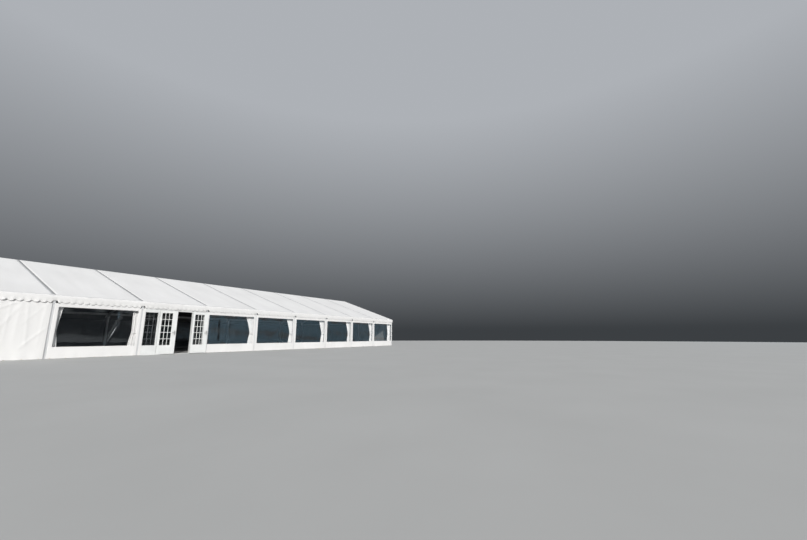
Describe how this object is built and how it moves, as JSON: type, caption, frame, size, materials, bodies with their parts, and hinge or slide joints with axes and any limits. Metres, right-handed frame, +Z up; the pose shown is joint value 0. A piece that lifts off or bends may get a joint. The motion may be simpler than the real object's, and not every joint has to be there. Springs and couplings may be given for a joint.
{
  "type": "frame marquee",
  "caption": "Long gabled frame marquee with coated cloth roof and walls, clear window panels, a glazed double door, eave valances and tied-back curtains.",
  "frame": {"origin": "on the ground under the middle of the whole box, at rest; the ridge stands 0.110 m behind it, because the open door leaf reaches out in front", "axes": "+X along the ridge towards the far gable, +Y into the marquee from the long front that holds the door, +Z up"},
  "size_m": [27.1466, 12.34, 4.4747],
  "materials": {
    "frame_aluminium": "satin anodised",
    "roof_cloth": "white coated cloth, satin",
    "wall_cloth": "white coated cloth, satin",
    "clear_film": "clear soft film",
    "door_white": "white, semi-gloss",
    "door_glass": "clear",
    "curtain_cloth": "matt white cloth"
  },
  "bodies": {
    "marquee": {"portal_1": "frame_aluminium", "portal_2": "frame_aluminium", "portal_3": "frame_aluminium", "portal_4": "frame_aluminium", "portal_5": "frame_aluminium", "portal_6": "frame_aluminium", "portal_7": "frame_aluminium", "portal_8": "frame_aluminium", "portal_9": "frame_aluminium", "portal_10": "frame_aluminium", "ridge_beam": "frame_aluminium", "purlin_front": "frame_aluminium", "purlin_rear": "frame_aluminium", "eave_beam_front": "frame_aluminium", "eave_beam_rear": "frame_aluminium", "gable_frame_left": "frame_aluminium", "gable_frame_right": "frame_aluminium", "roof_sheet_1": "roof_cloth", "roof_sheet_2": "roof_cloth", "roof_sheet_3": "roof_cloth", "roof_sheet_4": "roof_cloth", "roof_sheet_5": "roof_cloth", "roof_sheet_6": "roof_cloth", "roof_sheet_7": "roof_cloth", "roof_sheet_8": "roof_cloth", "roof_sheet_9": "roof_cloth", "valance_front": "wall_cloth", "valance_rear": "wall_cloth", "front_wall_1": "wall_cloth", "front_wall_2": "wall_cloth", "front_wall_3": "wall_cloth", "front_wall_4": "wall_cloth", "front_wall_5": "wall_cloth", "front_wall_6": "wall_cloth", "front_wall_7": "wall_cloth", "front_wall_8": "wall_cloth", "front_wall_9": "wall_cloth", "rear_wall": "wall_cloth", "gable_wall_left": "wall_cloth", "gable_wall_right": "wall_cloth", "front_film_2_to_2": "clear_film", "front_film_4_to_9": "clear_film", "rear_film": "clear_film", "door_frame": "door_white", "side_glass_left": "door_glass", "side_glass_right": "door_glass", "front_curtains": "curtain_cloth"},
    "left_door": {"door_leaf_left": "door_white", "leaf_glass_left": "door_glass"},
    "right_door": {"door_leaf_right": "door_white", "leaf_glass_right": "door_glass"}
  },
  "joints": [
    {"name": "left_door_hinge", "type": "hinge", "parent": "marquee", "child": "left_door", "pos_m": [-6.756, -5.92004, 0], "axis": [0, 0, -1], "range_deg": [-10, 160]},
    {"name": "right_door_hinge", "type": "hinge", "parent": "marquee", "child": "right_door", "pos_m": [-5.244, -5.92004, 0], "axis": [0, 0, 1], "range_deg": [-170, 0]}
  ]
}
